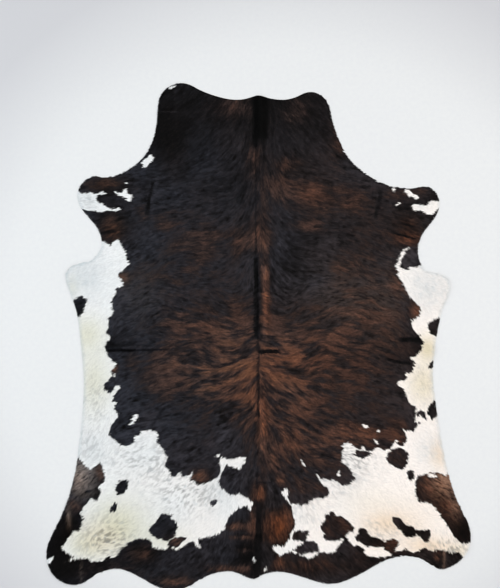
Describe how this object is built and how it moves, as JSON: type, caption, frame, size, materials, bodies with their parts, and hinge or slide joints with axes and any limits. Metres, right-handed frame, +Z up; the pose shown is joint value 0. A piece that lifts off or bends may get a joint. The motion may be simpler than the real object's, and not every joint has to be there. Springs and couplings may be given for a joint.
{
  "type": "cowhide rug",
  "caption": "Natural cowhide rug lying flat with its hair side up, its edge scalloped where neck, legs, flanks and tail were, with low fold ridges along the spine and across the middle.",
  "frame": {"origin": "on the floor, under the middle of the rug's box", "axes": "+Y along the spine towards the neck, +X to the right seen from above, +Z up out of the hair side"},
  "size_m": [1.7984, 2.153, 0.0154],
  "materials": {
    "coat": "short glossy hair, black and brown brindle with white flanks and rump",
    "skin": "soft undyed suede on the underside and the cut rim"
  },
  "bodies": {
    "root": {"hide": "coat"}
  },
  "joints": []
}
